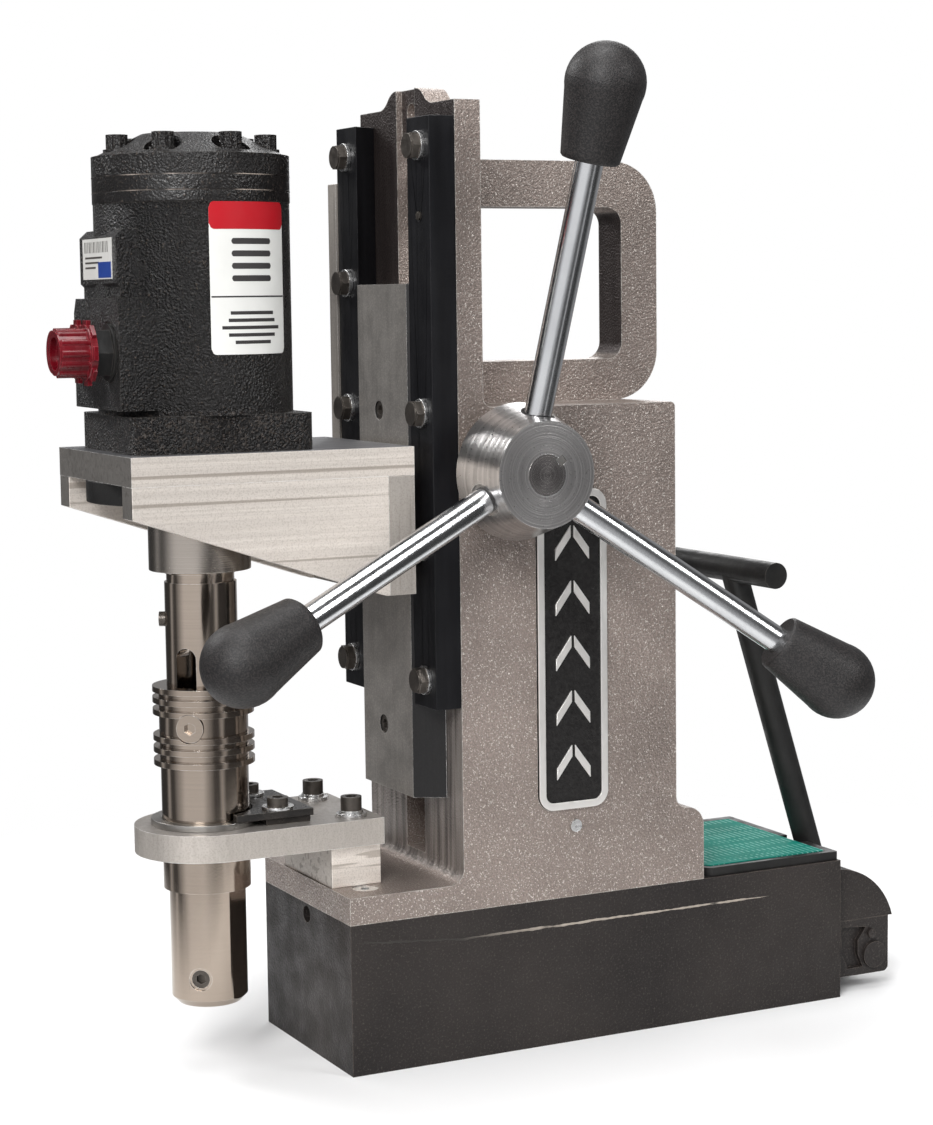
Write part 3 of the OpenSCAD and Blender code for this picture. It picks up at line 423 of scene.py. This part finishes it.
def green_label():
    """Teal film with rows of fine pale dashes, as plain ruling."""
    look = Look("green_label", (0.004, 0.17, 0.13), 0.0, 0.60, specular=0.1)
    look.tint(look.noise(50), (0.006, 0.22, 0.17), 0.5)
    phase = look.math("MULTIPLY", look.coordinate("Y"), 2 * math.pi / LABEL_ROW_PITCH)
    wave = look.math("SINE", phase, 0)
    rows = look.spread(wave, 0.5, 0.8)
    dashes = look.noise(260, (1, 0.08, 1), low=0.44, high=0.54)
    look.tint(look.math("MULTIPLY", rows, dashes), (0.42, 0.72, 0.65), 0.4)
    look.roughen(look.noise(150), 0.1)
    return look.bump(look.noise(300), 0.05, 0.0002).done()


def nameplate_black():
    look = Look("nameplate_black", (0.007, 0.006, 0.006), 0.0, 0.30, specular=0.3)
    look.tint(look.noise(500), (0.022, 0.021, 0.020), 0.5).roughen(look.noise(300), 0.2)
    return look.bump(look.noise(900, detail=3), 0.35, 0.0004).done()


def bright_metal():
    look = Look("bright_metal", (0.90, 0.88, 0.85), 0.75, 0.28)
    look.tint(look.noise(40, detail=4), (0.74, 0.71, 0.67), 0.35).roughen(look.noise(400), 0.15)
    return look.bump(look.noise(900), 0.06, 0.0001).done()


def bronze():
    look = Look("bronze", (0.50, 0.33, 0.15), 1.0, 0.30)
    look.tint(look.noise(120), (0.34, 0.21, 0.09), 0.5).roughen(look.noise(300), 0.15)
    return look.bump(look.noise(800), 0.12, 0.0002).done()


def plain_steel():
    look = Look("plain_steel", (0.40, 0.385, 0.365), 1.0, 0.28)
    look.tint(look.noise(90), (0.27, 0.26, 0.245), 0.5).roughen(look.noise(300), 0.15)
    return look.bump(look.noise(800), 0.1, 0.0002).edges((0.85, 0.84, 0.82), 0.6, 0.4).done()


def weld_metal():
    """Dark at the spindle end, bright along the rest."""
    look = Look("weld_metal", (0.030, 0.026, 0.023), 0.15, 0.36)
    rise = look.spread(look.coordinate("Y"), -0.08, -0.03)
    bright_mark = look.math("MULTIPLY", rise, look.noise(90, low=0.32, high=0.46))
    look.tint(bright_mark, (0.46, 0.40, 0.34), 0.8)
    return look.roughen(look.noise(300), 0.2).bump(look.noise(600), 0.3, 0.0004).done()


# ---- dressing the CAD nodes

# degrees between faces, past which an edge counts as sharp
SHARP_ANGLE = 38
SPLIT_BEVELLED = 50


def dress(material, bevel, *nodes):
    """Gives nodes a material and small rounded edges in mm, which the CAD leaves square."""
    for name in nodes:
        thing = frame["nodes"][name]
        thing.data.materials.clear()
        thing.data.materials.append(material)
        for face in thing.data.polygons:
            face.use_smooth = True
        weld = thing.modifiers.new("weld", "WELD")
        weld.merge_threshold = 1e-6
        if bevel:
            edge = thing.modifiers.new("edges", "BEVEL")
            edge.width = bevel * MM
            edge.segments = 2
            edge.limit_method = "ANGLE"
            edge.angle_limit = math.radians(SHARP_ANGLE)
            edge.use_clamp_overlap = True
            edge.harden_normals = True
        split = thing.modifiers.new("split", "EDGE_SPLIT")
        split.split_angle = math.radians(SPLIT_BEVELLED if bevel else SHARP_ANGLE)
        shading = thing.modifiers.new("shading", "WEIGHTED_NORMAL")
        shading.keep_sharp = True


FLANGE_H = 17.5  # mm, the height of the motor's foot flange


def dress_all():
    """Gives every CAD node its material and edge radius in mm."""
    spindle = next(m["pos_m"] for m in frame["record"]["mounts"] if m["name"] == "arbor_bore")
    hub_low, hub_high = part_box("feed_hub")
    hub = (hub_low + hub_high) / 2
    black = black_steel()
    dress(cast_aluminium(), 0.9, "column_casting")
    dress(saw_cut("plate_near", (1, 0.004, 1), top=0.9), 0.35, "gussets", "bracket_top")
    # the rear plates and the arm are darker copies of one plate, as painted shade; the riser is a
    # lighter copy, as painted light
    rear = saw_cut("plate_rear", (1, 1, 0.04), 0.55, 0, lines=0.2)
    dress(rear, 0.35, "bracket_back", "bracket_spacer", "depth_scale")
    dress(saw_cut("arm_plate", (0.5, 0.5, 0.1), 0.64, 0.2, 0.3, 0.0), 0.5, "support_arm")
    dress(saw_cut("riser_block", (1, 0.06, 1), 1.2, 0.5), 0.4, "arm_riser")
    dress(ground_slide(), 0.3, "slide")
    dress(turned("turned_hub", "X", hub, (0.62, 0.60, 0.59), 0.26), 0.5, "feed_hub")
    dress(turned("shaft_end", "X", hub, (0.34, 0.32, 0.31), 0.20), 0.4, "pinion_shaft")
    dress(turned("collar", "Z", spindle, (0.52, 0.47, 0.42), 0.22), 0.4, "bearing_collar")
    dress(polished_spindle(), 0.3, "spindle_barrel", "coolant_ring", "ring_plug")
    dress(zinc_rod(), 0.3, "feed_spokes")
    dress(zinc_washer(), 0.15, "gib_washers", "arm_washers", "foot_screws", "oil_plug")
    bolts = ("gib_bolts", "arm_screws", "slide_screws", "motor_screws", "spindle_screws")
    dress(dark_bolt(), 0.25, *bolts)
    dress(base_paint(), 0.7, "magnet_housing", "ear_blocks", "ear_caps", "ear_screws")
    dress(gib_black(), 0.4, "gibs")
    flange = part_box("motor_housing")[0].z + FLANGE_H * MM
    dress(motor_paint("motor_body", 950, 0.9, 0.24, flange=flange), 1.2, "motor_housing")
    # the ring and wear plate get a bright edge colour, a painted highlight along their joints
    dress(motor_paint("motor_stack", 900, 0.25, 0.24, 0.8), 0.5, "wear_plate", "gerotor_ring")
    dress(motor_paint("motor_cover", 900, 0.45, 0.24), 0.8, "end_cover", "cover_bolts")
    dress(black, 0.4, "bearing_plate", "cover_plate", "lever_handle", "port_adapter")
    dress(keeper_black(), 0.3, "keeper_clip", "keeper_spacer")
    dress(knob_plastic(), 0.0, "feed_knobs")
    dress(red_cap(), 0.3, "port_caps")
    dress(green_label(), 0.0, "info_label")
    dress(nameplate_black(), 0.2, "nameplate")
    dress(bright_metal(), 0.25, "nameplate_rim", "nameplate_marks")
    dress(bronze(), 0.2, "pinion_bushes", "pole_spacers")
    inner = ("arm_bush", "pole_bars", "feed_rack", "hub_key", "motor_shaft", "lever_shaft")
    dress(plain_steel(), 0.3, *inner, "magnet_frame")
    dress(black, 0.3, "magnet_blocks")


# ---- surface pieces


def as_mesh(name, shape):
    """Turns a bmesh into a mesh and frees it."""
    mesh = bpy.data.meshes.new(name)
    shape.to_mesh(mesh)
    shape.free()
    return mesh


def piece(name, mesh, material, body, thickness=0.0, bevel=0.0):
    """Adds a piece that rides on a body; thickness and bevel are in mm."""
    made = bpy.data.objects.new(name, mesh)
    bpy.context.scene.collection.objects.link(made)
    made.data.materials.append(material)
    if thickness:
        solid = made.modifiers.new("solid", "SOLIDIFY")
        solid.thickness = thickness * MM
        solid.offset = 1
    if bevel:
        edge = made.modifiers.new("edges", "BEVEL")
        edge.width = bevel * MM
        edge.segments = 2
    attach(made, body)
    return made


# the motor's round body and the sticker on it: mm, and degrees about the spindle axis
SPINDLE_Y = -184.4
BODY_R = 44.0
STICKER_START = -11.1
STICKER_SWEEP = 54.1
STICKER_CORNER = 2.6
STICKER_BAND = 0.18  # share of the height taken by the red band
STICKER_RULE = 0.374  # height of the rule, as a share of the whole
PRINT_LIFT = 0.17  # print stands this far over the panel
FILM_ROWS = 6


def on_body(angle, z, r):
    """A point on the motor's round body, from a world angle about the spindle axis."""
    a = math.radians(angle)
    return Vector((r * math.cos(a), SPINDLE_Y + r * math.sin(a), z)) * MM


def wrapped(name, across, up, r, corner=0.0, steps=48):
    """A film on the round body, from spans in mm round it and up it, with rounded corners."""
    shape = bmesh.new()
    width = across[1] - across[0]
    columns = []
    for i in range(steps + 1):
        s = width * i / steps
        inset = max(0.0, corner - min(s, width - s))
        cut = corner - math.sqrt(max(0.0, corner**2 - inset**2))
        angle = STICKER_START + math.degrees((across[0] + s) / BODY_R)
        low, high = up[0] + cut, up[1] - cut
        heights = [low + (high - low) * k / FILM_ROWS for k in range(FILM_ROWS + 1)]
        columns.append([shape.verts.new(on_body(angle, z, r)) for z in heights])
    for left, right in zip(columns, columns[1:]):
        for k in range(FILM_ROWS):
            shape.faces.new((left[k], right[k], right[k + 1], left[k + 1]))
    return as_mesh(name, shape)


def make_sticker():
    """Two-tone film: a red band over a pale panel, a rule across it and plain bars below."""
    low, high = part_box("motor_sticker")
    z0, z1 = low.z / MM, high.z / MM
    width = math.radians(STICKER_SWEEP) * BODY_R
    band = z1 - STICKER_BAND * (z1 - z0)
    rule = z0 + STICKER_RULE * (z1 - z0)
    white = printed("sticker_white", (0.80, 0.80, 0.77), (0.70, 0.70, 0.67))
    red = printed("sticker_red", (0.47, 0.010, 0.018), (0.40, 0.008, 0.014))
    ink = printed("sticker_ink", (0.035, 0.033, 0.033), (0.06, 0.055, 0.055))
    r = BODY_R + 0.1
    printed_r = r + PRINT_LIFT
    panel = wrapped("sticker_panel", (0, width), (z0, z1), r, corner=STICKER_CORNER)
    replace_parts(piece("sticker_panel", panel, white, "carriage", 0.16), "motor_sticker")
    head = wrapped("sticker_band", (0, width), (band, z1), printed_r, corner=STICKER_CORNER)
    piece("sticker_band", head, red, "carriage", 0.05)
    line = wrapped("sticker_rule", (0.5, width - 0.5), (rule, rule + 0.7), printed_r)
    piece("sticker_rule", line, ink, "carriage", 0.04)
    for i, margin in enumerate((9, 8, 5, 8, 11)):
        z = rule - 7.5 - i * 3.2
        bar = wrapped(f"sticker_bar_{i}", (margin, width - margin), (z, z + 1.5), printed_r)
        piece(f"sticker_bar_{i}", bar, ink, "carriage", 0.04)
    for i in range(4):
        z = rule + 7 + i * 5.4
        name = f"sticker_stripe_{i}"
        stripe = wrapped(name, (10, width - 10), (z, z + 2.6), printed_r, corner=1.2)
        piece(name, stripe, ink, "carriage", 0.04)


def make_joint_lines():
    """Thin edges, bare from wear and with a painted highlight, where the ring meets the plates
    above and below it.
    """
    low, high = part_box("gerotor_ring")
    r = (high.x - low.x) / 2 / MM
    around = 2 * math.pi * BODY_R
    look = Look("joint_wear_and_highlight", (0.02, 0.017, 0.016), 0.3, 0.25)
    # painted highlight and wear: a bright broken line round each joint
    look.tint(look.noise(38, (1, 1, 0.3), 3, 0.45, 0.62), (0.52, 0.44, 0.38), 0.85)
    bright_mark = look.roughen(look.noise(300), 0.15).bump(look.noise(900), 0.1, 0.0002).done()
    for label, z in (("low", low.z / MM), ("high", high.z / MM)):
        name = f"joint_line_{label}"
        line = wrapped(name, (0, around), (z - 0.2, z + 0.2), r + 0.04, steps=96)
        piece(name, line, bright_mark, "carriage", 0.08)


def slab(shape, low, high, place):
    """Adds a block to a bmesh, between two corners in mm, moved by a matrix."""
    made = bmesh.ops.create_cube(shape, size=1)["verts"]
    size = Vector(high) - Vector(low)
    middle = (Vector(high) + Vector(low)) / 2
    grow = Matrix.Diagonal((*(size * MM), 1))
    bmesh.ops.transform(shape, matrix=place @ Matrix.Translation(middle * MM) @ grow, verts=made)


MOTOR_TURN = -2  # degrees
LABEL_FACE = -44.6  # mm from the spindle axis
INK = 0.08  # mm


def make_motor_label():
    """Plain ruled bars and a blue patch on the small pale label over the ports."""
    axis = Matrix.Translation(Vector((0, SPINDLE_Y, 0)) * MM)
    place = axis @ Matrix.Rotation(math.radians(MOTOR_TURN), 4, "Z")
    low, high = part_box("motor_label")
    z0, z1 = low.z / MM, high.z / MM
    shape = bmesh.new()
    for i in range(16):
        wide = 0.5 if i % 3 else 0.95
        u = -18.6 + i * 2.3
        slab(shape, (u, LABEL_FACE - INK, z1 - 6.2), (u + wide, LABEL_FACE, z1 - 1.4), place)
    for i in range(3):
        z = z1 - 8.8 - i * 2.2
        slab(shape, (-18, LABEL_FACE - INK, z), (8 - 5 * i, LABEL_FACE, z + 0.8), place)
    ink = printed("label_ink", (0.05, 0.045, 0.04), (0.09, 0.08, 0.07))
    piece("label_bars", as_mesh("label_bars", shape), ink, "carriage")
    shape = bmesh.new()
    slab(shape, (2, LABEL_FACE - 0.1, z0 + 0.6), (21.4, LABEL_FACE, z0 + 7.6), place)
    blue = printed("label_blue", (0.012, 0.045, 0.25), (0.02, 0.07, 0.34))
    piece("label_patch", as_mesh("label_patch", shape), blue, "carriage", bevel=0.04)
    white = printed("label_white", (0.72, 0.71, 0.68), (0.60, 0.59, 0.56))
    dress(white, 0.0, "motor_label")


# where the bead turns, and its radius, in mm; then how far the section is stretched each way
WELD_CORNER_Z = 62.5
WELD_Z = 57.5
WELD_START_Y, WELD_END_Y = -78, 92
WELD_R = 0.36
WELD_DEEP, WELD_TALL = 0.55, 1.5


def make_weld():
    """A rippled bead along the near side of the magnet housing, dipping from its front corner."""
    low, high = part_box("magnet_housing")
    corner = Vector((high.x, low.y + 2 * MM, WELD_CORNER_Z * MM))
    start = Vector((high.x, WELD_START_Y * MM, WELD_Z * MM))
    end = Vector((high.x, WELD_END_Y * MM, WELD_Z * MM))
    shape = bmesh.new()
    rings = []
    steps, around = 260, 10
    for i in range(steps + 1):
        t = i / steps
        middle = corner.lerp(start, 4 * t) if t < 0.25 else start.lerp(end, (t - 0.25) / 0.75)
        middle.z += 0.5 * MM * noise.noise(Vector((t * 22, 3.1, 0)))
        taper = min(1.0, 14 * t, 14 * (1 - t))
        ripple = 0.05 * math.sin(i * 1.25) + 0.22 * noise.noise(Vector((t * 30, 0, 7.7)))
        r = (WELD_R + ripple) * MM * max(0.06, taper)
        ring = []
        for k in range(around):
            a = 2 * math.pi * k / around
            out = Vector((WELD_DEEP * r * math.cos(a), 0, WELD_TALL * r * math.sin(a)))
            ring.append(shape.verts.new(middle + out))
        rings.append(ring)
    for near, far in zip(rings, rings[1:]):
        for k in range(around):
            n = (k + 1) % around
            shape.faces.new((near[k], near[n], far[n], far[k]))
    for ring, order in ((rings[0], -1), (rings[-1], 1)):
        shape.faces.new(ring[::order])
    bmesh.ops.recalc_face_normals(shape, faces=shape.faces)
    mesh = as_mesh("weld_bead", shape)
    for face in mesh.polygons:
        face.use_smooth = True
    piece("weld_bead", mesh, weld_metal(), "base")


# ---- stage and light

# metres
FLOOR_SIZE = 6
FLOOR_FADE = (0.30, 0.55)
LIGHT_TARGET = Vector((0, -0.05, 0.22))

# the room that reflections see: grey levels along a direction, from behind it to ahead of it
ROOM_AHEAD = (-0.62, 0.785, 0)
ROOM_BEHIND = 0.95
ROOM_FRONT = 0.30
ROOM_BANDS = (
    (0.05, 0.95),
    (0.12, 0.55),
    (0.23, 0.10),
    (0.32, 0.10),
    (0.40, 0.60),
    (0.48, 0.07),
    (0.75, 0.05),
    (0.90, 0.30),
)


def make_stage():
    """A pale floor that fades into the white sweep round the machine."""
    shape = bmesh.new()
    bmesh.ops.create_grid(shape, x_segments=2, y_segments=2, size=FLOOR_SIZE)
    floor = bpy.data.objects.new("floor", as_mesh("floor", shape))
    floor.location.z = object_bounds()[0].z
    look = Look("floor_paper", (0.90, 0.90, 0.90), 0.0, 0.85, specular=0.1)
    look.tint(look.noise(2), (0.88, 0.88, 0.88), 0.5)
    fade = look.spread(look.radius("Z", (0, 0, 0)), *FLOOR_FADE, 1.0, 0.0)
    look.link(fade, look.shader.inputs["Alpha"])
    floor.data.materials.append(look.done())
    bpy.context.scene.collection.objects.link(floor)


def make_light(name, place, size, power):
    """A soft box at a point in metres, turned to the machine."""
    light = bpy.data.lights.new(name, "AREA")
    light.shape = "RECTANGLE"
    light.size, light.size_y = size
    light.energy = power
    lamp = bpy.data.objects.new(name, light)
    lamp.location = place
    lamp.rotation_euler = (LIGHT_TARGET - Vector(place)).to_track_quat("-Z", "Y").to_euler()
    bpy.context.scene.collection.objects.link(lamp)


def make_world():
    """A white sweep to look at; in reflections, a grey room with dark flags and a bright end."""
    world = bpy.data.worlds.new("world")
    world.use_nodes = True
    tree = world.node_tree

    def add(kind, *sources, **settings):
        node = tree.nodes.new(kind)
        for key, value in settings.items():
            setattr(node, key, value)
        for socket, source in zip(node.inputs, sources):
            tree.links.new(source, socket)
        return node

    seen = add("ShaderNodeLightPath").outputs["Is Camera Ray"]
    way = add("ShaderNodeTexCoord").outputs["Generated"]
    ahead = add("ShaderNodeVectorMath", way, operation="DOT_PRODUCT")
    ahead.inputs[1].default_value = ROOM_AHEAD
    along = add("ShaderNodeMapRange", ahead.outputs["Value"])
    along.inputs["From Min"].default_value = -1
    ramp = add("ShaderNodeValToRGB", along.outputs[0])
    bands = ramp.color_ramp
    bands.elements[0].color = (ROOM_BEHIND, ROOM_BEHIND, ROOM_BEHIND + 0.01, 1)
    bands.elements[1].color = (ROOM_FRONT, ROOM_FRONT, ROOM_FRONT + 0.01, 1)
    for position, level in ROOM_BANDS:
        bands.elements.new(position).color = (level, level, 1.02 * level, 1)
    room = add("ShaderNodeBackground", ramp.outputs[0])
    sweep = add("ShaderNodeBackground")
    sweep.inputs["Color"].default_value = (1, 1, 1, 1)
    mixed = add("ShaderNodeMixShader", seen, room.outputs[0], sweep.outputs[0])
    tree.links.new(mixed.outputs[0], tree.nodes["World Output"].inputs["Surface"])
    bpy.context.scene.world = world


def light_all():
    """Soft boxes at the front, both sides, behind and above."""
    bpy.context.scene.view_settings.view_transform = "Standard"
    make_world()
    make_light("key", (1.3, -1.2, 1.3), (0.7, 0.9), 32)
    make_light("side", (1.5, 1.0, 1.3), (0.5, 0.8), 12)
    make_light("top", (0.0, -0.1, 1.9), (1.0, 1.0), 20)
    make_light("rim", (-1.4, 0.9, 1.1), (0.6, 1.2), 8)
    make_light("left", (-1.3, -0.9, 1.35), (0.5, 0.6), 12)


make_camera()
dress_all()
make_sticker()
make_joint_lines()
make_motor_label()
make_weld()
make_stage()
light_all()
